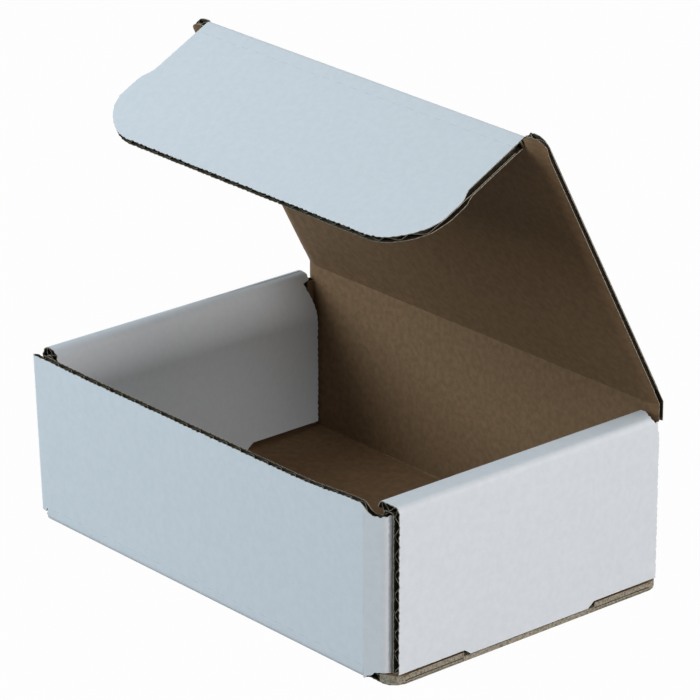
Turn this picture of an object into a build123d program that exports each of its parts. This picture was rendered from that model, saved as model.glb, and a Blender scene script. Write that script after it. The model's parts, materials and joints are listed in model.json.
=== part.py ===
"""Corrugated mailer box, white outside and kraft inside, standing with its lid held up.

One die-cut blank of single-wall board, folded up. The tray has a bottom, a front and a back
wall with dust flaps, and end walls of two panels rolled over the dust flaps, with a lock tab
in a slot of the bottom. The lid turns on the top fold of the back wall, and the tuck flap
turns on the front fold of the lid. Millimetres, +Z up, +X along the box, front wall at -Y.
The origin is at the middle of the underside.
"""

import math
import os

from build123d import *

# Board
board = 3.0
fold_radius = 2.2
roll_radius = 1.9
corner_radius = 3.4
layer_gap = 0.2

# Fluting between the two liners, open at the cut edges that cross it
flute_pitch = 6.4
liner = 0.35
flute_web = 0.45
flute_chamfer = 0.4
flute_depth = 1.6

# Tray, outside sizes
box_length = 170.0
box_width = 114.4
wall_height = 57.0
front_drop = 2.0

# Front wall's top edge, which rises to the right and steps down in an S to both dust flaps
crest_rise = 1.3
crest_length = 26.0
step_width = 3.5
step_to_corner = 5.5

# Dust flaps
dust_flap_depth = 46.0
dust_flap_lift = 0.8
dust_flap_drop = 0.3

# End walls
front_setback = 4.5
back_setback = 4.5
slit_height = 0.6
slit_web = 0.9
inner_floor_gap = 1.8
inner_end_gap = 0.5
inner_curve_height = 16.0
inner_curve_depth = 3.5
bottom_corner_radius = 5.0

# Outer tab of the end wall, which laps the edge of the bottom
tab_half_width = 24.0
tab_slant = 2.5
tab_lap = 1.2

# Lock tab of the inner panel, in its slot of the bottom
lock_half_width = 23.0
lock_slant = 2.5
lock_recess = 0.4
tab_clearance = 0.25

# Lid, measured from the fold at the back to the fold at the front
lid_side_setback = 3.0
lid_depth = 107.0
lid_opening = 62.0
shoulder_reach = 2.5
shoulder_gap = 0.8
shoulder_radius = 4.0
plain_corner_radius = 8.0
fold_clearance = 0.1

# Tuck flap
flap_depth = 53.0
flap_angle = 91.0
flap_least_angle = 68.0
flap_side_clearance = 0.35
ear_bulge = 2.6
ear_start = 25.0
ear_peak = 33.0
ear_shoulder = 47.0
ear_corner = 12.5
ear_corner_rise = 3.5
ear_corner_round = 0.75

# Places that follow from the sizes
front_height = wall_height - front_drop
half_length = box_length / 2
half_width = box_width / 2
outer_face = half_length - board
dust_outer = outer_face - layer_gap
dust_inner = dust_outer - board
inner_panel_outer = dust_inner - layer_gap
inner_panel_inner = inner_panel_outer - board
wall_end = dust_outer - corner_radius
flap_reach = dust_flap_depth + board
roll_underside = wall_height - board
dust_bottom = board + dust_flap_lift
dust_top = roll_underside - dust_flap_drop
crest_height = front_height + crest_rise
end_front = -half_width + front_setback
end_back = half_width - back_setback
inner_bottom = board + inner_floor_gap
inner_reach = half_width - board - inner_end_gap
notch_half_width = tab_half_width + tab_slant + tab_clearance
hinge_z = wall_height + board
hinge = (half_width, hinge_z)
closed_angle = 90.0


def on_panel(fold, angle, along, inward):
    """Point (y, z) on a panel that leaves its fold at an angle above -Y."""
    turn = math.radians(angle)
    y = fold[0] - along * math.cos(turn) - inward * math.sin(turn)
    z = fold[1] + along * math.sin(turn) - inward * math.cos(turn)
    return (y, z)


def panel_plane(fold, angle):
    """Plane of a panel's outer face, with its origin on the fold and local -Y down the panel."""
    turn = math.radians(angle)
    return Plane(origin=(0, fold[0], fold[1]), x_dir=(1, 0, 0), z_dir=(0, math.sin(turn), math.cos(turn)))


def mitre(fold, angle, depth, along, least_angle, towards):
    """Corners of the wedge to cut from a panel's end, so that two panels can meet at least_angle."""
    cut_back = board / math.tan(math.radians(least_angle) / 2)
    start = depth + towards * fold_clearance
    return [
        on_panel(fold, angle, start, -board),
        on_panel(fold, angle, start, 0),
        on_panel(fold, angle, start + towards * cut_back, board),
        on_panel(fold, angle, start + towards * cut_back, 2 * board),
        on_panel(fold, angle, depth - towards * along, 2 * board),
        on_panel(fold, angle, depth - towards * along, -board),
    ]


def edge_plane(fold, angle, depth):
    """Plane across a panel's cut edge, at this depth from its fold and halfway through the board."""
    turn = math.radians(angle)
    middle = on_panel(fold, angle, depth, board / 2)
    return Plane(origin=(0, middle[0], middle[1]), x_dir=(1, 0, 0), z_dir=(0, -math.cos(turn), math.sin(turn)))


# One open flute: a blunt triangle that stands on a liner
flute_base = flute_pitch - 2 * flute_web
flute_foot = liner - board / 2
with BuildSketch() as flute:
    with BuildLine():
        Polyline(
            (-flute_base / 2, flute_foot),
            (flute_base / 2, flute_foot),
            (0, -flute_foot - flute_web),
            close=True,
        )
    make_face()
    chamfer(flute.vertices(), flute_chamfer)


def add_flute_ends(span):
    """Flutes along the sketch's X axis, on one liner and the other by turns."""
    for shift, turn in ((-flute_pitch / 4, 0), (flute_pitch / 4, 180)):
        with Locations((shift, 0)):
            with GridLocations(flute_pitch, 1, int(span / flute_pitch), 1):
                add(flute.sketch, rotation=turn)


# Tray: bottom, walls, dust flaps and rolled end walls, folded from one sheet
with BuildPart() as tray:
    # Bottom panel, whose cut ends show under the end walls
    with BuildSketch(Plane.XY):
        Rectangle(box_length, box_width - 2 * fold_radius)
        fillet(vertices(), bottom_corner_radius)
    extrude(amount=board)
    # Notch under each outer tab, and slot for each lock tab
    with BuildSketch(Plane.XY.offset(board)):
        with Locations((half_length, 0), (-half_length, 0)):
            Rectangle(2 * (board + tab_clearance), 2 * notch_half_width)
    extrude(amount=-tab_lap - tab_clearance, mode=Mode.SUBTRACT)
    with BuildSketch(Plane.XY):
        slot_centre = (inner_panel_inner + inner_panel_outer) / 2
        with Locations((slot_centre, 0), (-slot_centre, 0)):
            Rectangle(board + 2 * tab_clearance, 2 * (lock_half_width + tab_clearance))
    extrude(amount=board, mode=Mode.SUBTRACT)
    # Front wall and back wall, folded up from the bottom
    with BuildSketch(Plane.YZ):
        with BuildLine():
            Polyline(
                (-half_width, crest_height),
                (-half_width, 0),
                (half_width, 0),
                (half_width, dust_top),
                (half_width - board, dust_top),
                (half_width - board, board),
                (-half_width + board, board),
                (-half_width + board, crest_height),
                close=True,
            )
        make_face()
        fillet(vertices().group_by(Axis.Y)[0], fold_radius)
        with Locations((0, board / 2)):
            Rectangle(2 * inner_reach, 2 * board, mode=Mode.SUBTRACT)
    extrude(amount=wall_end, both=True)
    # Top of the back wall, up to the mitre of the lid's fold
    with BuildSketch(Plane.YZ):
        with BuildLine():
            Polyline(
                (half_width, dust_top),
                (half_width, hinge_z - fold_clearance),
                (half_width - board, wall_height - fold_clearance),
                (half_width - board, dust_top),
                close=True,
            )
        make_face()
    extrude(amount=dust_outer, both=True)
    # Corners and dust flaps
    for side, end in ((-1, -1), (1, -1), (-1, 1), (1, 1)):
        with BuildSketch(Plane.XY.offset(dust_bottom)):
            with Locations((side * (dust_outer - corner_radius), end * (half_width - flap_reach / 2))):
                Rectangle(2 * corner_radius, flap_reach)
            outer_edge = vertices().group_by(Axis.X)[0 if side < 0 else -1]
            fillet(outer_edge.sort_by(Axis.Y)[0 if end < 0 else -1], corner_radius)
            with Locations((side * (dust_inner - corner_radius), end * (half_width - flap_reach / 2 - board))):
                Rectangle(2 * corner_radius, flap_reach, mode=Mode.SUBTRACT)
        extrude(amount=dust_top - dust_bottom)
    # Front wall's top edge
    step_end = wall_end - step_to_corner + step_width
    step_start = wall_end - step_to_corner
    with BuildSketch(Plane.XZ.offset(half_width + board)):
        with BuildLine():
            Line((-half_length, dust_top), (-step_end, dust_top))
            Spline((-step_end, dust_top), (-step_start, front_height), tangents=[(1, 0), (1, 0)])
            Line((-step_start, front_height), (step_start - crest_length, front_height))
            Spline(
                (step_start - crest_length, front_height),
                (step_start, crest_height),
                tangents=[(1, 0), (1, 0)],
            )
            Spline((step_start, crest_height), (step_end, dust_top), tangents=[(1, 0), (1, 0)])
            Polyline(
                (step_end, dust_top),
                (half_length, dust_top),
                (half_length, wall_height),
                (-half_length, wall_height),
                (-half_length, dust_top),
            )
        make_face()
    extrude(amount=-3 * board, mode=Mode.SUBTRACT)
    for side in (-1, 1):
        # Outer panel and its tab
        with BuildSketch(Plane.YZ.offset(side * outer_face)):
            with BuildLine():
                Polyline(
                    (end_front, board + slit_height),
                    (-tab_half_width - tab_slant, board + slit_height),
                    (-tab_half_width, board - tab_lap),
                    (tab_half_width, board - tab_lap),
                    (tab_half_width + tab_slant, board + slit_height),
                    (end_back, board + slit_height),
                    (end_back, roll_underside),
                    (end_front, roll_underside),
                    close=True,
                )
            make_face()
        extrude(amount=side * board)
        # Web left by the slit at the foot of the outer panel
        with BuildSketch(Plane.YZ.offset(side * outer_face)):
            with Locations((0, board + slit_height / 2)):
                Rectangle(2 * min(-end_front, end_back) - 2 * bottom_corner_radius, slit_height)
                Rectangle(2 * notch_half_width, slit_height, mode=Mode.SUBTRACT)
        extrude(amount=side * slit_web)
        # Roll over the dust flaps
        with BuildSketch(Plane.XZ.offset(-end_front)) as roll:
            with Locations((side * (half_length + inner_panel_inner) / 2, wall_height - board / 2)):
                Rectangle(half_length - inner_panel_inner, board)
            fillet(roll.vertices().group_by(Axis.Y)[-1], roll_radius)
        extrude(amount=end_front - end_back)
        # Inner panel, its curved top corners and its lock tab
        with BuildSketch(Plane.YZ.offset(side * inner_panel_inner)):
            with BuildLine():
                Polyline(
                    (-inner_reach, roll_underside - inner_curve_height),
                    (-inner_reach, inner_bottom),
                    (-lock_half_width - lock_slant, inner_bottom),
                    (-lock_half_width, board),
                    (-lock_half_width, lock_recess),
                    (lock_half_width, lock_recess),
                    (lock_half_width, board),
                    (lock_half_width + lock_slant, inner_bottom),
                    (inner_reach, inner_bottom),
                    (inner_reach, roll_underside - inner_curve_height),
                )
                Spline(
                    (inner_reach, roll_underside - inner_curve_height),
                    (inner_reach - inner_curve_depth, roll_underside),
                    tangents=[(0, 1), (-1, 1)],
                )
                Line(
                    (inner_reach - inner_curve_depth, roll_underside),
                    (-inner_reach + inner_curve_depth, roll_underside),
                )
                Spline(
                    (-inner_reach + inner_curve_depth, roll_underside),
                    (-inner_reach, roll_underside - inner_curve_height),
                    tangents=[(-1, -1), (0, -1)],
                )
            make_face()
        extrude(amount=side * board)

    # Open flutes along the front wall's top edge
    with BuildSketch(Plane.XY.offset(crest_height)):
        with Locations((0, -half_width + board / 2)):
            add_flute_ends(2 * step_start)
    extrude(amount=-crest_rise - flute_depth, mode=Mode.SUBTRACT)
    # Open flutes at the end walls' front and back edges
    for side in (-1, 1):
        for edge_y, facing in ((end_front, -1), (end_back, 1)):
            panel_middle = (side * (half_length - board / 2), edge_y, (dust_bottom + roll_underside) / 2)
            with BuildSketch(Plane(origin=panel_middle, x_dir=(0, 0, 1), z_dir=(0, facing, 0))):
                add_flute_ends(roll_underside - dust_bottom)
            extrude(amount=-flute_depth, mode=Mode.SUBTRACT)
            roll_middle = (side * (half_length + inner_panel_inner) / 2, edge_y, wall_height - board / 2)
            with BuildSketch(Plane(origin=roll_middle, x_dir=(1, 0, 0), z_dir=(0, facing, 0))):
                add_flute_ends(half_length - inner_panel_inner)
            extrude(amount=-flute_depth, mode=Mode.SUBTRACT)

# Lid
lid_fold = on_panel(hinge, lid_opening, lid_depth, 0)
flap_slope = lid_opening + flap_angle - 180
ear_half_width = inner_panel_inner - flap_side_clearance
flap_half_width = ear_half_width - ear_bulge
lid_half = half_length - lid_side_setback
shoulder_start = flap_half_width + shoulder_gap
with BuildPart() as lid:
    with BuildSketch(panel_plane(hinge, lid_opening)) as lid_outline:
        with BuildLine():
            Polyline(
                (-lid_half, 0),
                (lid_half, 0),
                (lid_half, -lid_depth - shoulder_reach),
                (shoulder_start, -lid_depth - shoulder_reach),
                (shoulder_start, -lid_depth),
                (-lid_half, -lid_depth),
                close=True,
            )
        make_face()
        fillet(lid_outline.vertices().group_by(Axis.X)[0].sort_by(Axis.Y)[0], plain_corner_radius)
        fillet(lid_outline.vertices().group_by(Axis.X)[-1].sort_by(Axis.Y)[0], shoulder_radius)
    extrude(amount=-board)
    # Mitre at the back fold
    with BuildSketch(Plane.YZ):
        with BuildLine():
            Polyline(mitre(hinge, lid_opening, 0, board, closed_angle, 1), close=True)
        make_face()
    extrude(amount=half_length, both=True, mode=Mode.SUBTRACT)
    # Mitre at the front fold
    with BuildSketch(Plane.YZ.offset(shoulder_start)):
        with BuildLine():
            Polyline(mitre(hinge, lid_opening, lid_depth, board, flap_least_angle, -1), close=True)
        make_face()
    extrude(amount=-shoulder_start - half_length, mode=Mode.SUBTRACT)

# Tuck flap, with rounded ears at its free corners
with BuildPart() as tuck_flap:
    with BuildSketch(panel_plane(lid_fold, flap_slope)):
        with BuildLine():
            Line((flap_half_width, 0), (flap_half_width, -ear_start))
            Spline(
                (flap_half_width, -ear_start),
                (ear_half_width, -ear_peak),
                (ear_half_width - ear_bulge, -ear_shoulder + ear_corner_rise),
                (ear_half_width - ear_corner, -flap_depth + ear_corner_round),
                (ear_half_width - ear_corner - ear_corner_rise, -flap_depth),
                tangents=[(1, -1), (-1, 0)],
            )
            Line((ear_half_width - ear_corner - ear_corner_rise, -flap_depth), (0, -flap_depth))
            Line((0, -flap_depth), (0, 0))
            Line((0, 0), (flap_half_width, 0))
        make_face()
        mirror(about=Plane.YZ)
    extrude(amount=-board)
    # Mitre at the fold
    with BuildSketch(Plane.YZ):
        with BuildLine():
            Polyline(mitre(lid_fold, flap_slope, 0, board, flap_least_angle, 1), close=True)
        make_face()
    extrude(amount=half_length, both=True, mode=Mode.SUBTRACT)
    # Open flutes along the free edge
    with BuildSketch(edge_plane(lid_fold, flap_slope, flap_depth)):
        add_flute_ends(2 * (ear_half_width - ear_corner - ear_corner_rise))
    extrude(amount=-flute_depth, mode=Mode.SUBTRACT)

tray.part.label = "tray"
lid.part.label = "lid"
tuck_flap.part.label = "tuck_flap"

os.makedirs("parts", exist_ok=True)
export_step(tray.part, "parts/tray.step")
export_step(lid.part, "parts/lid.step")
export_step(tuck_flap.part, "parts/tuck_flap.step")
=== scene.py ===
"""The mailer box's corrugated board: white and kraft liners with the fluting between them.

Metres, in the part's own frame: +Z up, +X along the box, front wall at -Y.
"""

import json
import math

import bmesh
import bpy
import numpy as np
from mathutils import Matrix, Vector


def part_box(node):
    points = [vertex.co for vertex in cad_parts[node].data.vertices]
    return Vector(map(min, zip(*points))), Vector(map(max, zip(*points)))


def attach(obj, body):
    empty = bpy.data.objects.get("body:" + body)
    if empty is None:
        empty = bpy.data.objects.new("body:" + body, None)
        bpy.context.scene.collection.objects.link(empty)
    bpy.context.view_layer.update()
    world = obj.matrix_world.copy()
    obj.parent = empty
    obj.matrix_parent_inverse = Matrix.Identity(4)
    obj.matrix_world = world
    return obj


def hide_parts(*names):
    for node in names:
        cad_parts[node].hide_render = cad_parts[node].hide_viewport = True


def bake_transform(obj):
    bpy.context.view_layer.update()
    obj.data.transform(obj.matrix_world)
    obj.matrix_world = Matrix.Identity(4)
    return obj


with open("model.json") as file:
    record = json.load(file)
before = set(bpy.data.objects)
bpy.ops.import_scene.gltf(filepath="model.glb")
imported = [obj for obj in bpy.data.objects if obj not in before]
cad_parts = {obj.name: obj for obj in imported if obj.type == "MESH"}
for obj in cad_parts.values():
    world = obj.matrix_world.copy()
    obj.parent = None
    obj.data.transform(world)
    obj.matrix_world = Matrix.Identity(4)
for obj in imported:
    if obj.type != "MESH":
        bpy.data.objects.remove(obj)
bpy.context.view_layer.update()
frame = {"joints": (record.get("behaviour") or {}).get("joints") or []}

# Board, in metres
BOARD = 0.003
LINER = 0.00032
MEDIUM = 0.00024
FLUTE = 0.0064
FLUTE_STEPS = 10
WASHBOARD = 0.00002
COLUMN = 0.0008
CREASE = 0.0004
FOLD_STEPS = 8
FOLD_REACH = 0.0055
STRIP_RADIUS = 0.0012
STRIP_COLUMNS = 9
STRIP_RECESS = 3
# Cut edges: bites of the die, and board squeezed thinner towards the cut
BITE = 0.00055
BITE_PITCH = 0.0021
SHALLOWEST_BITE = 0.35
CRUSH = 0.24
CRUSH_REACH = 0.0032
END_CRUSH = 0.08
EDGE_ROWS = (0.0, 0.0007, 0.0014, 0.0022, 0.0032)
LID_CRUSH = 0.4
LID_CRUSH_REACH = 0.0052
# Mesh: smallest steps and tolerances, and how many rows of vertices each board has
JUMP = 1e-5
ROUNDING = 1e-6
ARC_LIMIT = 0.999
SHARP_ANGLE = math.radians(35)
WALL_ROWS = 7
PLAIN_ROWS = 4
LEFT_ROLL_ROWS = 24
BOTTOM_ROWS = 3
LID_ROWS = 8
SHOULDER_ROWS = 60
FLAP_ROWS = 6
BOTH_EDGES = np.array([0.0, 1.0])
# Paper
SPECULAR = 0.25
MOTTLE_LOW = 0.35
MOTTLE_HIGH = 0.65
MOTTLE_DETAIL = 6
FIBRE_DETAIL = 4
FIBRE_FINENESS = 4
FIBRE_DEPTH = 0.0002

# Sizes of the part that its boxes don't give
LAYER_GAP = 0.0002
FOLD_RADIUS = 0.0022
ROLL_RADIUS = 0.0021
CORNER_RADIUS = 0.0034
WALL_HEIGHT = 0.057
FRONT_DROP = 0.002
CREST_RISE = 0.0014
CREST_START = 0.046
CREST = 0.0722
STEP_START = 0.0728
STEP_END = 0.0775
STEP_DROP = 0.0034
LEFT_RISE = 0.0003
LEFT_RISE_START = 0.055
LEFT_RISE_END = 0.08
CORNER_SLOPE_START = 0.0006
DUST_DEPTH = 0.046
DUST_BOTTOM = 0.0031
DUST_DROP = 0.0003
LEFT_DUST_TOP = 0.042
BACK_DUST_START = 0.006
END_SETBACK = 0.0045
SLIT = 0.0006
SLIT_WEB = 0.0009
BOTTOM_CORNER = 0.005
BOTTOM_COLUMNS = 12
BOTTOM_PHASE = 0.3
CORNER_FOLD_REACH = 0.004
CRUSHED_INSET = 0.0002
CRUSHED_COLUMNS = 24
TAB_HALF = 0.024
TAB_SLANT = 0.0025
TAB_LAP = 0.0012
TAB_CLEARANCE = 0.00025
INNER_GAP = 0.0018
INNER_END_GAP = 0.0005
INNER_CURVE_HEIGHT = 0.016
INNER_CURVE_DEPTH = 0.0035
LOCK_HALF = 0.023
LOCK_SLANT = 0.0025
LOCK_RECESS = 0.0004
SHOULDER_REACH = 0.0025
SHOULDER_GAP = 0.0008
SHOULDER_LEAD = 0.0026
SHOULDER_LEAD_START = 0.001
SHOULDER_LEAD_END = 0.003
SHOULDER_RADIUS = 0.004
PLAIN_RADIUS = 0.008
EAR_BULGE = 0.0026
FLAP_ANGLE = math.radians(91)

# Flared left end of the front wall
FLARE = 0.0032
FLARE_DEPTH = 0.0045
FLARE_LENGTH = 0.012
FLARE_MARGIN = 0.0006
# Creased right end of the front wall, torn along its lower edge
CORNER_CREASE = 0.0742
CREASED_END_IN = 0.0014
CREASED_END_BACK = 0.0027
CREASED_SIDE_BACK = 0.0062
CREASED_RADII = (0.0016, 0.001, 0.0026, 0.002)
TORN_LOW = 0.0008
TORN_RISE = 0.0024
TORN_PAST_WALL = 0.001
TORN_WAVES = ((0.0004, 5200), (0.0002, 13000))
# Left end wall's roll: a tight coil in front, loose and crushed at the back
TIGHT_LEAN = 0.0023
TIGHT_BEND = 0.046
LOOSE_LEAN = 0.0046
LOOSE_BEND = 0.044
LEFT_ROLL_RADII = (0.0034, 0.0034, 0.02)
LOOSE_START = -0.030
LOOSE_END = 0.036
CORE_TOP = 0.0535
CORE_TAPER = 0.0095
CORE_SKIN = 0.0001
CORE_INSET = 0.0006
CORE_COLUMNS = 12
# Crush wrinkles: how deep, how far below the roll's top, how close together and from where to where
WRINKLE = 0.00022
WRINKLE_FULL = 0.003
WRINKLE_FADE = (0.006, 0.014)
WRINKLE_RATE = 1150
WRINKLE_DRIFT = 1.1
WRINKLE_DRIFT_RATE = 260
WRINKLE_RISE = (-0.012, 0.008)
WRINKLE_FALL = (0.034, 0.046)
# Worn back corner of the rolls
WORN = 0.0022
WORN_REACH = 0.006

# Places from the frame
tray_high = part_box("tray")[1]
lid_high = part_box("lid")[1]
flap_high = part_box("tuck_flap")[1]
joints = {joint["name"]: joint for joint in frame["joints"]}
hinge = Vector(joints["lid_hinge"]["pos_m"])
fold = Vector(joints["tuck_fold"]["pos_m"])
half_length = tray_high.x
half_width = tray_high.y
lid_half = lid_high.x
ear_half = flap_high.x
flap_half = ear_half - EAR_BULGE
lid_depth = (fold - hinge).length
lid_along = (fold - hinge).normalized()
lid_out = Vector((1, 0, 0)).cross(lid_along) * -1
flap_along = math.cos(math.pi - FLAP_ANGLE) * lid_along - math.sin(math.pi - FLAP_ANGLE) * lid_out
flap_out = Vector((1, 0, 0)).cross(flap_along) * -1
front_height = WALL_HEIGHT - FRONT_DROP
dust_top = WALL_HEIGHT - BOARD - DUST_DROP
outer_face = half_length - BOARD
dust_outer = outer_face - LAYER_GAP
inner_panel = dust_outer - 2 * BOARD - LAYER_GAP
wall_end = dust_outer - CORNER_RADIUS
end_reach = half_width - END_SETBACK
inner_reach = half_width - BOARD - INNER_END_GAP


def shader(name, roughness):
    """A material with its node tree and its surface shader."""
    material = bpy.data.materials.new(name)
    material.use_nodes = True
    tree = material.node_tree
    surface = tree.nodes["Principled BSDF"]
    surface.inputs["Roughness"].default_value = roughness
    surface.inputs["Specular IOR Level"].default_value = SPECULAR
    return material, tree, surface


def noise(tree, scale, detail):
    """Noise over the object's own coordinates."""
    place = tree.nodes.new("ShaderNodeTexCoord")
    texture = tree.nodes.new("ShaderNodeTexNoise")
    texture.inputs["Scale"].default_value = scale
    texture.inputs["Detail"].default_value = detail
    tree.links.new(place.outputs["Object"], texture.inputs["Vector"])
    return texture.outputs["Fac"]


def ramp(tree, factor, dark, light):
    """Colour ramp from dark to light over the middle of the noise's range."""
    node = tree.nodes.new("ShaderNodeValToRGB")
    node.color_ramp.elements[0].position = MOTTLE_LOW
    node.color_ramp.elements[0].color = (*dark, 1)
    node.color_ramp.elements[1].position = MOTTLE_HIGH
    node.color_ramp.elements[1].color = (*light, 1)
    tree.links.new(factor, node.inputs["Fac"])
    return node.outputs["Color"]


def paper(name, dark, light, scale, roughness, bump):
    """A matt paper whose fibres make it slightly mottled."""
    material, tree, surface = shader(name, roughness)
    mottle = noise(tree, scale, MOTTLE_DETAIL)
    colour = ramp(tree, mottle, dark, light)
    tree.links.new(colour, surface.inputs["Base Color"])
    relief = tree.nodes.new("ShaderNodeBump")
    relief.inputs["Strength"].default_value = bump
    relief.inputs["Distance"].default_value = FIBRE_DEPTH
    tree.links.new(noise(tree, FIBRE_FINENESS * scale, FIBRE_DETAIL), relief.inputs["Height"])
    tree.links.new(relief.outputs["Normal"], surface.inputs["Normal"])
    return material


WHITE = paper("white_liner", (0.60, 0.63, 0.655), (0.63, 0.655, 0.68), 500, 0.6, 0.05)
KRAFT = paper("kraft_liner", (0.14, 0.082, 0.04), (0.18, 0.106, 0.053), 500, 0.75, 0.25)
RIM = paper("cut_rim", (0.15, 0.13, 0.095), (0.36, 0.32, 0.245), 1500, 0.85, 0.4)
# Fluting, and the liners' faces towards it: near-black painted shade of the hollows between the flutes,
# darker than the medium's own kraft
FLUTING_SHADE_PAINT = paper("fluting", (0.022, 0.018, 0.012), (0.065, 0.053, 0.036), 1200, 0.9, 0.3)
MATERIALS = (WHITE, KRAFT, RIM, FLUTING_SHADE_PAINT)
# Material indices; the last one is the fluting's near-black painted shade
OUTSIDE, INSIDE, CUT, FLUTING_PAINTED_SHADE = range(4)


def folded(corners, radii):
    """Outer face, inner face and length tables of board folded at corners, inside on the left."""
    outer, inner = [], []
    count = len(corners)
    points = [Vector(corner) for corner in corners]
    ways = [(points[i + 1] - points[i]).normalized() for i in range(count - 1)]
    lefts = [Vector((-way.y, way.x)) for way in ways]
    outer.append(points[0])
    inner.append(points[0] + BOARD * lefts[0])
    for i in range(1, count - 1):
        turn = ways[i - 1].angle_signed(ways[i]) * -1
        radius = radii[i - 1]
        inset = radius * math.tan(turn / 2)
        inside = points[i] + BOARD * lefts[i - 1] - BOARD * math.tan(turn / 2) * ways[i - 1]
        crease = CREASE * math.tan(turn / 2)
        for step in range(FOLD_STEPS + 1):
            angle = turn * step / FOLD_STEPS
            swing = math.sin(angle) * ways[i - 1] - math.cos(angle) * lefts[i - 1]
            outer.append(points[i] - inset * ways[i - 1] + radius * (lefts[i - 1] + swing))
            inner.append(inside - crease * ways[i - 1] + CREASE * (lefts[i - 1] + swing))
    outer.append(points[-1])
    inner.append(points[-1] + BOARD * lefts[-1])
    lengths = [0.0]
    for a, b in zip(outer, outer[1:]):
        lengths.append(lengths[-1] + (b - a).length)
    return np.array(lengths), np.array(outer), np.array(inner)


def along_path(table, length, depth):
    """Points at these lengths along a folded board, at depth below its outer face."""
    lengths, outer, inner = table
    share = depth / BOARD
    first = [np.interp(length, lengths, outer[:, i]) for i in (0, 1)]
    second = [np.interp(length, lengths, inner[:, i]) for i in (0, 1)]
    return [a * (1 - share) + b * share for a, b in zip(first, second)]


def on_plane(origin, across, along, outward):
    """Placing function of a flat panel."""
    base, u_way, v_way, out = (np.array(way, float) for way in (origin, across, along, outward))

    def place(u, v, depth):
        return base + u[..., None] * u_way + v[..., None] * v_way - depth[..., None] * out

    return place


def columns(start, end, extra=()):
    """Positions across the flutes, with the outline's own corners among them."""
    count = max(2, round((end - start) / COLUMN) + 1)
    return np.unique(np.round(np.concatenate([np.linspace(start, end, count), extra]), 7))


def row_shares(length, rows, cut):
    """Places of the rows from 0 to 1, closer together at the ends that are cut."""
    shares = list(np.linspace(0, 1, rows))
    if cut.get("low"):
        shares += [distance / length for distance in EDGE_ROWS]
    if cut.get("high"):
        shares += [1 - distance / length for distance in EDGE_ROWS]
    return np.unique(np.round(np.clip(shares, 0, 1), 5))


def squeezed(uu, vv, low, high, cut, crush, crush_reach):
    """Share of its thickness that die-cut board keeps near its cut edges."""
    distances = []
    if cut.get("start"):
        distances.append(uu - uu[0, 0])
    if cut.get("end"):
        distances.append(uu[-1, 0] - uu)
    if cut.get("low"):
        distances.append(vv - low[:, None])
    if cut.get("high"):
        distances.append(high[:, None] - vv)
    kept = np.ones_like(uu)
    for distance in distances:
        near = 1 - np.clip(distance / crush_reach, 0, 1)
        kept = kept * (1 - crush * near * near)
    return kept


def bites(u, seed):
    """How far the die's teeth bite into a cut edge, deeper and shallower by turns."""
    place = (u - u[0]) / BITE_PITCH
    depths = np.random.default_rng(seed).uniform(SHALLOWEST_BITE, 1.0, int(place[-1]) + 2)
    return BITE * depths[place.astype(int)] * (1 - np.abs(2 * (place % 1) - 1))


def vertex_grid(build, points):
    """Vertices for a grid of points."""
    return [[build.verts.new(point) for point in line] for line in points]


def skin_quads(grid, under, colours):
    """Both faces of a sheet, and its rims along the first and the last column."""
    top, bottom, rim = colours
    last, end = len(grid) - 1, len(grid[0]) - 1
    quads = []
    for i in range(last):
        for j in range(end):
            quads.append((grid[i][j], grid[i + 1][j], grid[i + 1][j + 1], grid[i][j + 1], top))
            quads.append((under[i][j], under[i][j + 1], under[i + 1][j + 1], under[i + 1][j], bottom))
    for j in range(end):
        quads.append((grid[0][j], grid[0][j + 1], under[0][j + 1], under[0][j], rim))
        quads.append((grid[last][j], under[last][j], under[last][j + 1], grid[last][j + 1], rim))
    return quads


def add_faces(build, quads):
    """Faces from quads, each of which ends with its material's index."""
    for a, b, c, d, index in quads:
        face = build.faces.new((a, b, c, d))
        face.material_index = index
        face.smooth = True


def add_sheet(build, place, u, low, high, shares, faces, colours, kept=None):
    """A closed sheet between two depths, over columns u from low to high."""
    rows = len(shares)
    uu = np.repeat(u[:, None], rows, axis=1)
    vv = low[:, None] + (high - low)[:, None] * shares
    scale = 1 if kept is None else kept(uu, vv)
    grid = vertex_grid(build, place(uu, vv, faces[0][:, None] * scale))
    under = vertex_grid(build, place(uu, vv, faces[1][:, None] * scale))
    quads = skin_quads(grid, under, colours)
    end, rim = rows - 1, colours[2]
    for i in range(len(u) - 1):
        quads.append((grid[i][0], under[i][0], under[i + 1][0], grid[i + 1][0], rim))
        quads.append((grid[i][end], grid[i + 1][end], under[i + 1][end], under[i][end], rim))
    add_faces(build, quads)


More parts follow.
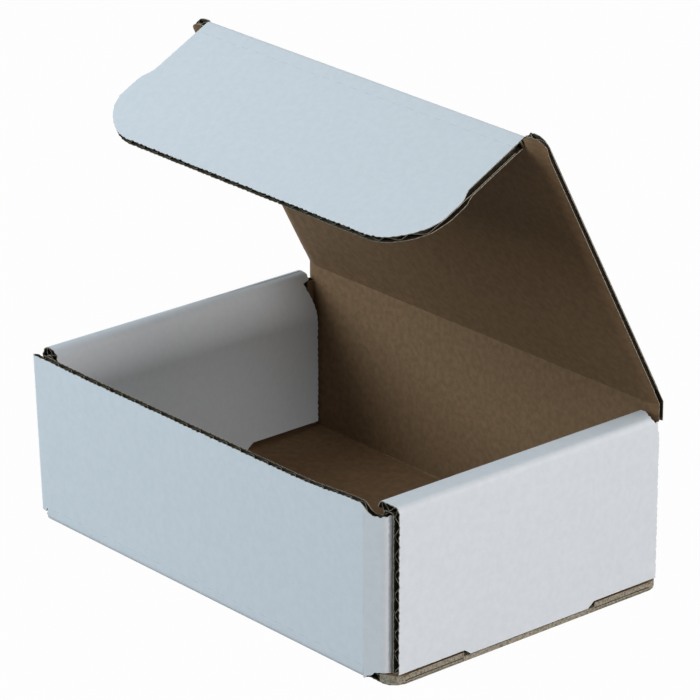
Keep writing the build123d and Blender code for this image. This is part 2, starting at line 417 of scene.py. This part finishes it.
def add_board(build, place, u, low, high, rows=2, cut=None, phase=0.0, crush=CRUSH, crush_reach=CRUSH_REACH):
    """Both liners and the fluting of one piece of board. cut names the edges that a die has cut."""
    cut = cut or {}
    shares = row_shares(float(np.mean(high - low)), rows, cut)
    at_low = 1 if cut.get("low") else 0
    at_high = 1 if cut.get("high") else 0
    # Where a board starts and ends sets its own pattern of bites
    seed = int(1e5 * abs(u[-1]) + 1e4 * u[0] ** 2)
    ripple = WASHBOARD * (1 + np.sin(2 * math.pi * (u / FLUTE + phase)))
    inner = BOARD - LINER

    def kept(uu, vv):
        return squeezed(uu, vv, low, high, cut, crush, crush_reach)

    # The liners' faces towards the fluting take its near-black painted shade
    for index, faces, colours in (
        (0, (ripple, ripple + LINER), (OUTSIDE, FLUTING_PAINTED_SHADE, CUT)),
        (1, (inner - ripple, BOARD - ripple), (FLUTING_PAINTED_SHADE, INSIDE, CUT)),
    ):
        low_bite = at_low * bites(u, seed + index)
        high_bite = at_high * bites(u, seed + index + 2)
        add_sheet(build, place, u, low + low_bite, high - high_bite, shares, faces, colours, kept)
    if cut:
        count = max(4, round((u[-1] - u[0]) / FLUTE * FLUTE_STEPS))
        fine = np.linspace(u[0], u[-1], count + 1)
        wave = np.sin(2 * math.pi * (fine / FLUTE + phase))
        middle = BOARD / 2 + (BOARD / 2 - LINER - MEDIUM / 2) * wave
        fine_low = np.interp(fine, u, low) + at_low * BITE
        fine_high = np.interp(fine, u, high) - at_high * BITE

        def fine_kept(uu, vv):
            return squeezed(uu, vv, fine_low, fine_high, cut, crush, crush_reach)

        # The fluting itself, in near-black painted shade
        faces = (middle - MEDIUM / 2, middle + MEDIUM / 2)
        add_sheet(build, place, fine, fine_low, fine_high, shares, faces, (FLUTING_PAINTED_SHADE, FLUTING_PAINTED_SHADE, CUT), fine_kept)


def add_block(build, place, u, low, high, top, bottom, colours):
    """A plain closed plate between two depths."""
    flat = np.ones_like(u)
    faces = (top * flat, bottom * flat)
    add_sheet(build, place, u, low * flat, high * flat, BOTH_EDGES, faces, colours)


def piece(name, build, body, *nodes):
    """Turns a mesh under construction into a piece that rides on a body."""
    bmesh.ops.recalc_face_normals(build, faces=build.faces)
    mesh = bpy.data.meshes.new(name)
    build.to_mesh(mesh)
    build.free()
    for material in MATERIALS:
        mesh.materials.append(material)
    item = bpy.data.objects.new(name, mesh)
    bpy.context.scene.collection.objects.link(item)
    mesh.set_sharp_from_angle(angle=SHARP_ANGLE)
    if body:
        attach(item, body)
    if nodes:
        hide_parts(*nodes)
    return item


def smooth(x, start, end):
    """Rises softly from 0 at start to 1 at end."""
    share = np.clip((x - start) / (end - start), 0, 1)
    return share * share * (3 - 2 * share)


def jump(x):
    """Two columns so close together that an outline can jump between them."""
    return [x - JUMP, x + JUMP]


def rounded(u, edge, radius):
    """How far a rounded corner at edge cuts an outline back."""
    into = np.clip((u - edge + radius) / radius, 0, 1)
    return radius * (1 - np.sqrt(1 - into**2 * ARC_LIMIT))


# Front wall with its corners and dust flaps, flutes upright
tray_mesh = bmesh.new()
dust_end = half_width - DUST_DEPTH
front_corners = [
    (-dust_outer, -dust_end),
    (-dust_outer, -half_width),
    (CORNER_CREASE, -half_width),
    (dust_outer - CREASED_END_IN, -half_width + CREASED_END_BACK),
    (dust_outer, -half_width + CREASED_SIDE_BACK),
    (dust_outer, -dust_end),
]
front_table = folded(front_corners, CREASED_RADII)
seam_height = 2 * FOLD_RADIUS


def place_front(u, v, depth):
    """Points of the front wall: u along its folded path, v upwards, depth below the outer face."""
    x, y = along_path(front_table, u, depth)
    near = np.clip((-y - half_width + FLARE_DEPTH) / FLARE_DEPTH, 0, 1)
    left = smooth(-x, dust_outer - FLARE_LENGTH, dust_outer - FLARE_MARGIN)
    x = x - FLARE * near * left * v / front_height
    return np.stack([x, y, v], axis=-1)


u = columns(0, front_table[0][-1], front_table[0])
x, y = along_path(front_table, u, 0 * u)
top = front_height + CREST_RISE * smooth(x, CREST_START, CREST)
top = top - STEP_DROP * smooth(x, STEP_START, STEP_END)
top = top + LEFT_RISE * smooth(-x, LEFT_RISE_START, LEFT_RISE_END)
into_wall = smooth(y, -half_width + CORNER_SLOPE_START, -half_width + END_SETBACK)
top = top + (dust_top - top) * into_wall
low = np.where((x < -wall_end) | (x > wall_end), DUST_BOTTOM, seam_height)
torn_end = wall_end + TORN_PAST_WALL
ragged = sum(height * np.sin(x * rate) for height, rate in TORN_WAVES)
torn = TORN_LOW + TORN_RISE * smooth(x, CORNER_CREASE, torn_end) + ragged
low = np.where(x > CORNER_CREASE, torn, low)
low = np.where(x > torn_end, DUST_BOTTOM, low)
top = np.where((x < 0) & (y > -half_width + BOARD), LEFT_DUST_TOP, top)
add_board(tray_mesh, place_front, u, low, top, WALL_ROWS, dict(high=True))

# Back wall with its corners and dust flaps
back_corners = [
    (dust_outer, dust_end),
    (dust_outer, half_width),
    (-dust_outer, half_width),
    (-dust_outer, dust_end),
]
back_table = folded(back_corners, (CORNER_RADIUS, CORNER_RADIUS))


def place_back(u, v, depth):
    """Points of the back wall, in the same way as those of the front wall."""
    x, y = along_path(back_table, u, depth)
    return np.stack([x, y, v], axis=-1)


u = columns(0, back_table[0][-1], back_table[0])
x, y = along_path(back_table, u, 0 * u)
low = np.where(np.abs(x) > wall_end, DUST_BOTTOM, seam_height)
top = np.where((x < 0) & (y < half_width - BACK_DUST_START), LEFT_DUST_TOP, dust_top)
add_board(tray_mesh, place_back, u, low, top, PLAIN_ROWS)
u = columns(-dust_outer, dust_outer)
place_back_top = on_plane((0, half_width, 0), (1, 0, 0), (0, 0, 1), (0, 1, 0))
wall_top = hinge.z - FOLD_REACH
low = 0 * u + dust_top
top = 0 * u + wall_top
edges = dict(start=True, end=True)
lid_squeeze = dict(crush=LID_CRUSH, crush_reach=LID_CRUSH_REACH)
add_board(tray_mesh, place_back_top, u, low, top, cut=edges, **lid_squeeze)


def add_path_board(build, place, u, table, crush=0.0, recess=0):
    """Board whose folds cross the columns. Its fluting ends recess columns short of both ends."""
    lengths = table[0]
    near = 1 - np.clip(np.minimum(u - u[0], u[-1] - u) / LID_CRUSH_REACH, 0, 1)
    kept = (1 - crush * near * near)[:, None]
    # The layer between the liners, and the liners' faces towards it, take the fluting's near-black painted
    # shade
    for short, front, back, colours in (
        (0, 0, LINER, (OUTSIDE, FLUTING_PAINTED_SHADE, CUT)),
        (recess, LINER, BOARD - LINER, (FLUTING_PAINTED_SHADE, FLUTING_PAINTED_SHADE, FLUTING_PAINTED_SHADE)),
        (0, BOARD - LINER, BOARD, (FLUTING_PAINTED_SHADE, INSIDE, CUT)),
    ):
        part = slice(short, len(u) - short)
        uu, vv = np.meshgrid(u[part], lengths, indexing="ij")
        grid = vertex_grid(build, place(uu, vv, kept[part] * front + 0 * uu))
        under = vertex_grid(build, place(uu, vv, kept[part] * back + 0 * uu))
        add_faces(build, skin_quads(grid, under, colours))


# Bottom, with the folds up to the front and back walls
bottom_corners = [(-half_width, seam_height), (-half_width, 0), (half_width, 0), (half_width, seam_height)]
bottom_table = folded(bottom_corners, (FOLD_RADIUS, FOLD_RADIUS))


def place_bottom(u, v, depth):
    """Points of the bottom: u along the box, v along its folded path from front to back."""
    y, z = along_path(bottom_table, v, depth)
    return np.stack([u, y, z], axis=-1)


u = np.linspace(-CORNER_CREASE, CORNER_CREASE, BOTTOM_COLUMNS)
add_path_board(tray_mesh, place_bottom, u, bottom_table)
# The same folds at three corners. The front right one is torn and has none
for side, end in ((-1, -1), (-1, 1), (1, 1)):
    fold_corners = [(half_width, seam_height), (half_width, 0), (half_width - CORNER_FOLD_REACH, 0)]
    fold_table = folded([(-y, z) for y, z in fold_corners], (FOLD_RADIUS,))

    def place_fold(u, v, depth):
        y, z = along_path(fold_table, v, depth)
        return np.stack([side * u, -end * y, z], axis=-1)

    add_path_board(tray_mesh, place_fold, columns(CORNER_CREASE, wall_end), fold_table)

# Ends of the bottom, with the lock tabs' slots and the notches under the outer tabs
notch_half = TAB_HALF + TAB_SLANT + TAB_CLEARANCE
slot_half = LOCK_HALF + TAB_CLEARANCE
slot_in = inner_panel - TAB_CLEARANCE
slot_out = inner_panel + BOARD + TAB_CLEARANCE
notch_in = outer_face - TAB_CLEARANCE
notch_floor = BOARD - TAB_LAP - TAB_CLEARANCE
for side in (-1, 1):
    for end in (-1, 1):
        place_end = on_plane((0, 0, 0), (side, 0, 0), (0, end, 0), (0, 0, -1))
        u = columns(CORNER_CREASE, half_length, jump(slot_in) + jump(slot_out) + jump(notch_in))
        high = half_width - FOLD_RADIUS - rounded(u, half_length, BOTTOM_CORNER)
        low = np.where((u > slot_in) & (u < slot_out), slot_half, 0)
        low = np.where(u > notch_in, notch_half, low)
        add_board(tray_mesh, place_end, u, low, high, BOTTOM_ROWS, dict(high=True), BOTTOM_PHASE)
        # Crushed edge, which the slit leaves in sight, and the web over it
        u = np.linspace(outer_face - BOARD, half_length - CRUSHED_INSET, CRUSHED_COLUMNS)
        high = half_width - FOLD_RADIUS - CRUSHED_INSET - rounded(u, half_length, BOTTOM_CORNER)
        add_block(tray_mesh, place_end, u, notch_half, high, LINER, BOARD - LINER, (CUT, CUT, CUT))
        u = np.array([outer_face, outer_face + SLIT_WEB])
        reach = half_width - BOTTOM_CORNER
        add_block(tray_mesh, place_end, u, notch_half, reach, BOARD, BOARD + SLIT, (CUT, CUT, CUT))
    place_notch = on_plane((0, 0, 0), (side, 0, 0), (0, 1, 0), (0, 0, -1))
    u = np.array([notch_in, half_length])
    add_block(tray_mesh, place_notch, u, -notch_half, notch_half, 0, notch_floor, (OUTSIDE, CUT, CUT))

# End walls, rolled over the dust flaps, flutes along the roll
panel_rise = SLIT + TAB_LAP
lock_drop = BOARD + INNER_GAP - LOCK_RECESS
foot = (half_length, BOARD - TAB_LAP)
shoulder = (half_length, WALL_HEIGHT)
lock_end = (inner_panel, LOCK_RECESS)
right_roll = folded([foot, shoulder, (inner_panel, WALL_HEIGHT), lock_end], (ROLL_RADIUS, ROLL_RADIUS))


def left_roll(lean, bend):
    """The left end wall's path, whose inner panel leans out by lean above the height bend."""
    turned = (inner_panel + lean, WALL_HEIGHT)
    return folded([foot, shoulder, turned, (inner_panel, bend), lock_end], LEFT_ROLL_RADII)


tight_roll = left_roll(TIGHT_LEAN, TIGHT_BEND)
loose_roll = left_roll(LOOSE_LEAN, LOOSE_BEND)


def along_share(table, share, depth):
    """Points at these shares of a folded board's length."""
    return along_path(table, share * table[0][-1], depth)


def place_right(u, v, depth):
    """Points of the right end wall: u along its rolled path, v from front to back."""
    x, z = along_path(right_roll, u, depth)
    return np.stack([x, v, z], axis=-1)


def place_left(u, v, depth):
    """Points of the left end wall, whose roll goes from tight in front to loose at the back."""
    share = u / tight_roll[0][-1]
    tight_x, tight_z = along_share(tight_roll, share, depth)
    loose_x, loose_z = along_share(loose_roll, share, depth)
    loose = smooth(v, LOOSE_START, LOOSE_END)
    x = tight_x + (loose_x - tight_x) * loose
    z = tight_z + (loose_z - tight_z) * loose
    # Crush wrinkles across the loose part of the roll
    below = WALL_HEIGHT - z
    height = np.clip(below / WRINKLE_FULL, 0, 1) * (1 - smooth(below, *WRINKLE_FADE))
    height = height * (x < outer_face - BOARD)
    wave = np.sin(v * WRINKLE_RATE + WRINKLE_DRIFT * np.sin(v * WRINKLE_DRIFT_RATE))
    wave = wave * smooth(v, *WRINKLE_RISE) * (1 - smooth(v, *WRINKLE_FALL))
    x = x + WRINKLE * height * wave
    return np.stack([-x, v, z], axis=-1)


for side, place_roll, roll_table in ((1, place_right, right_roll), (-1, place_left, tight_roll)):
    roll_total = roll_table[0][-1]
    # Outer tab
    u = columns(0, panel_rise)
    reach = TAB_HALF + TAB_SLANT * u / panel_rise
    add_board(tray_mesh, place_roll, u, -reach, reach, PLAIN_ROWS)
    # Outer panel, roll and inner panel
    u = columns(panel_rise, roll_total - lock_drop, roll_table[0])
    u = u[(u >= panel_rise - ROUNDING) & (u <= roll_total - lock_drop + ROUNDING)]
    rise = roll_total - u + LOCK_RECESS
    curve = (rise - WALL_HEIGHT + BOARD + INNER_CURVE_HEIGHT) / INNER_CURVE_HEIGHT
    inner = inner_reach - INNER_CURVE_DEPTH * np.clip(curve, 0, 1) ** 2
    inner = np.where(rise < WALL_HEIGHT - BOARD, inner, end_reach)
    front = inner if side > 0 else 0 * u + end_reach
    worn = WORN * (1 - smooth(np.abs(u - WALL_HEIGHT + BOARD - TAB_LAP), 0.0, WORN_REACH))
    rows = PLAIN_ROWS if side > 0 else LEFT_ROLL_ROWS
    edges = dict(low=True, high=True)
    add_board(tray_mesh, place_roll, u, -front, inner - worn, rows, edges, crush=END_CRUSH)
    # Lock tab
    u = columns(roll_total - lock_drop, roll_total)
    reach = LOCK_HALF + LOCK_SLANT * np.clip((roll_total - u - BOARD + LOCK_RECESS) / INNER_GAP, 0, 1)
    add_board(tray_mesh, place_roll, u, -reach, reach, PLAIN_ROWS)

# Crushed fluting that fills the left roll, down to its dust flaps, in the fluting's near-black painted shade
place_core = on_plane((-outer_face, 0, 0), (0, 0, 1), (0, 1, 0), (-1, 0, 0))
u = np.linspace(LEFT_DUST_TOP, CORE_TOP, CORE_COLUMNS)
filled = CORE_SKIN + (BOARD + LAYER_GAP) * np.clip((CORE_TOP - u) / CORE_TAPER, 0, 1)
reach = 0 * u + inner_reach - CORE_INSET
faces = (0 * u, filled)
add_sheet(tray_mesh, place_core, u, -reach, reach, BOTH_EDGES, faces, (FLUTING_PAINTED_SHADE, FLUTING_PAINTED_SHADE, FLUTING_PAINTED_SHADE))
piece("tray_board", tray_mesh, "tray", "tray")

# Lid, with a shoulder at its right front corner
across = Vector((1, 0, 0))
lid_mesh = bmesh.new()
place_lid = on_plane(hinge, across, lid_along, lid_out)
shoulder_start = flap_half + SHOULDER_GAP
u = columns(-lid_half, shoulder_start, jump(-flap_half) + jump(flap_half))
corner = lid_depth - rounded(-u, lid_half, PLAIN_RADIUS)
high = np.where(np.abs(u) < flap_half, lid_depth - FOLD_REACH, corner)
low = 0 * u + FOLD_REACH
edges = dict(start=True)
add_board(lid_mesh, place_lid, u, low, high, LID_ROWS, edges, **lid_squeeze)
u = columns(shoulder_start, lid_half)
high = lid_depth + SHOULDER_REACH - rounded(u, lid_half, SHOULDER_RADIUS)
lead = smooth(u, shoulder_start - SHOULDER_LEAD_START, shoulder_start + SHOULDER_LEAD_END)
high = high - SHOULDER_LEAD * (1 - lead)
low = 0 * u + FOLD_REACH
edges = dict(end=True, high=True)
add_board(lid_mesh, place_lid, u, low, high, SHOULDER_ROWS, edges, **lid_squeeze)
piece("lid_board", lid_mesh, "lid", "lid")

# Tuck flap
flap_mesh = bmesh.new()
place_flap = on_plane(fold, across, flap_along, flap_out)
# Outline of an ear: distance from the fold, and how far it stands out past the neck
ear_outline = [
    (0.0250, 0.0),
    (0.0268, 0.0007),
    (0.0290, 0.0019),
    (0.0330, 0.0026),
    (0.0388, 0.0022),
    (0.0429, 0.0004),
    (0.0468, -0.0030),
    (0.0490, -0.0058),
    (0.0513, -0.0096),
    (0.0523, -0.0126),
    (0.0530, -0.0160),
]
ear_out = np.array([flap_half + bulge for along, bulge in ear_outline])
ear_along = np.array([along for along, bulge in ear_outline])
widest = int(np.argmax(ear_out))
ear_columns = [side * x for side in (-1, 1) for x in ear_out]
u = columns(-ear_half, ear_half, ear_columns + jump(-flap_half) + jump(flap_half))
u = u[np.abs(u) <= ear_half - ROUNDING]
low_edge = np.interp(np.abs(u), ear_out[: widest + 1], ear_along[: widest + 1])
low_edge = np.where(np.abs(u) <= flap_half, FOLD_REACH, low_edge)
high_edge = np.interp(np.abs(u), ear_out[widest:][::-1], ear_along[widest:][::-1])
edges = dict(high=True, start=True, end=True)
add_board(flap_mesh, place_flap, u, low_edge, high_edge, FLAP_ROWS, edges)
piece("flap_board", flap_mesh, "tuck_flap", "tuck_flap")


def fold_strip(name, origin, before, after, half, crush):
    """The bent board over a fold: it leaves origin backwards along before and forwards along after."""
    build = bmesh.new()
    start = Vector((-before.y, -before.z)) * FOLD_REACH
    end = Vector((after.y, after.z)) * FOLD_REACH
    table = folded([start, (0, 0), end], (STRIP_RADIUS,))

    def place(u, v, depth):
        y, z = along_path(table, v, depth)
        return np.stack([u, origin.y + y, origin.z + z], axis=-1)

    near_end = np.linspace(half - LID_CRUSH_REACH, half, STRIP_COLUMNS)
    u = np.concatenate([-near_end[::-1], near_end])
    add_path_board(build, place, u, table, crush, STRIP_RECESS)
    item = piece(name, build, None)
    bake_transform(item)


fold_strip("lid_fold", hinge, Vector((0, 0, 1)), lid_along, dust_outer, LID_CRUSH)
fold_strip("flap_fold", fold, lid_along, flap_along, flap_half, 0.0)

# Floor and light. The floor lies a little below the box, so that their faces don't coincide
FLOOR_REACH = 3.0
FLOOR_TOP = -0.0003
FLOOR_WHITE = 0.98
FLOOR_GREY = 0.25
SKY_COLOUR = (0.84, 0.95, 1.0, 1)
SKY_STRENGTH = 0.17
LAMP_TARGET = (0, 0, 0.05)
floor_mesh = bpy.data.meshes.new("floor")
square = ((-1, -1), (1, -1), (1, 1), (-1, 1))
floor_corners = [(x * FLOOR_REACH, y * FLOOR_REACH, FLOOR_TOP) for x, y in square]
floor_mesh.from_pydata(floor_corners, [], [(0, 1, 2, 3)])
floor = bpy.data.objects.new("floor", floor_mesh)
bpy.context.scene.collection.objects.link(floor)


def seen(tree, path, most):
    """The factor most for camera, glossy and transmission rays, and 0 for all others."""
    total = path.outputs["Is Camera Ray"]
    for ray in ("Is Glossy Ray", "Is Transmission Ray"):
        node = tree.nodes.new("ShaderNodeMath")
        node.operation = "MAXIMUM"
        tree.links.new(total, node.inputs[0])
        tree.links.new(path.outputs[ray], node.inputs[1])
        total = node.outputs["Value"]
    share = tree.nodes.new("ShaderNodeMath")
    share.operation = "MULTIPLY"
    share.inputs[1].default_value = most
    tree.links.new(total, share.inputs[0])
    return share.outputs["Value"]


def white_stage():
    """A floor that is nearly white in the picture and still takes a little of the object's shadow."""
    material = bpy.data.materials.new("floor")
    material.use_nodes = True
    tree = material.node_tree
    tree.nodes.clear()
    output = tree.nodes.new("ShaderNodeOutputMaterial")
    mix = tree.nodes.new("ShaderNodeMixShader")
    path = tree.nodes.new("ShaderNodeLightPath")
    plain = tree.nodes.new("ShaderNodeBsdfDiffuse")
    glow = tree.nodes.new("ShaderNodeEmission")
    plain.inputs["Color"].default_value = (FLOOR_GREY, FLOOR_GREY, FLOOR_GREY, 1)
    glow.inputs["Strength"].default_value = 1.0
    tree.links.new(seen(tree, path, FLOOR_WHITE), mix.inputs["Fac"])
    tree.links.new(plain.outputs["BSDF"], mix.inputs[1])
    tree.links.new(glow.outputs["Emission"], mix.inputs[2])
    tree.links.new(mix.outputs["Shader"], output.inputs["Surface"])
    return material


floor_mesh.materials.append(white_stage())


def lamp(name, place, size, power, colour=(1, 1, 1)):
    """A square area lamp aimed at the box."""
    data = bpy.data.lights.new(name, "AREA")
    data.size = size
    data.energy = power
    data.color = colour
    item = bpy.data.objects.new(name, data)
    item.location = place
    item.rotation_euler = (Vector(LAMP_TARGET) - Vector(place)).to_track_quat("-Z", "Y").to_euler()
    bpy.context.scene.collection.objects.link(item)


lamp("key", (1.5, 0.15, 0.1), 0.2, 10.5, (1.0, 0.96, 0.96))
lamp("side", (1.3, -0.12, 0.8), 0.45, 6)
lamp("front", (-1.0, -1.2, 0.84), 1.0, 33, (0.82, 0.93, 1.0))
lamp("back", (0.4, 1.5, 0.8), 1.0, 12)

world = bpy.data.worlds.new("studio")
bpy.context.scene.world = world
world.use_nodes = True
sky = world.node_tree
background = sky.nodes["Background"]
glow = sky.nodes.new("ShaderNodeBackground")
mix = sky.nodes.new("ShaderNodeMixShader")
path = sky.nodes.new("ShaderNodeLightPath")
background.inputs["Color"].default_value = SKY_COLOUR
background.inputs["Strength"].default_value = SKY_STRENGTH
glow.inputs["Strength"].default_value = 1.0
glow.inputs["Color"].default_value = (1, 1, 1, 1)
sky.links.new(seen(sky, path, 1.0), mix.inputs["Fac"])
sky.links.new(background.outputs["Background"], mix.inputs[1])
sky.links.new(glow.outputs["Background"], mix.inputs[2])
sky.links.new(mix.outputs["Shader"], sky.nodes["World Output"].inputs["Surface"])

# Camera at the photo's viewing angle
AZIMUTH = math.radians(49.04)
ELEVATION = math.radians(21.80)
DISTANCE = 1.4542
SIDE_OFFSET = 0.00353
UP_OFFSET = 0.06211
FOCAL_PIXELS = 4638.0
FRAME_PIXELS = 700
SHIFT_PIXELS = (-6.5, 0.4)
SENSOR = 36.0
CLIP_END = 20
forward = Vector((
    -math.sin(AZIMUTH) * math.cos(ELEVATION),
    math.cos(AZIMUTH) * math.cos(ELEVATION),
    -math.sin(ELEVATION),
))
right = Vector((math.cos(AZIMUTH), math.sin(AZIMUTH), 0))
upward = right.cross(forward)
camera_data = bpy.data.cameras.new("camera")
camera_data.sensor_width = SENSOR
camera_data.lens = SENSOR * FOCAL_PIXELS / FRAME_PIXELS
camera_data.shift_x = SHIFT_PIXELS[0] / FRAME_PIXELS
camera_data.shift_y = SHIFT_PIXELS[1] / FRAME_PIXELS
camera_data.clip_end = CLIP_END
camera = bpy.data.objects.new("camera", camera_data)
camera.location = SIDE_OFFSET * right + UP_OFFSET * upward - DISTANCE * forward
camera.rotation_euler = forward.to_track_quat("-Z", "Y").to_euler()
bpy.context.scene.collection.objects.link(camera)
bpy.context.scene.camera = camera
bpy.context.scene.view_settings.view_transform = "Standard"
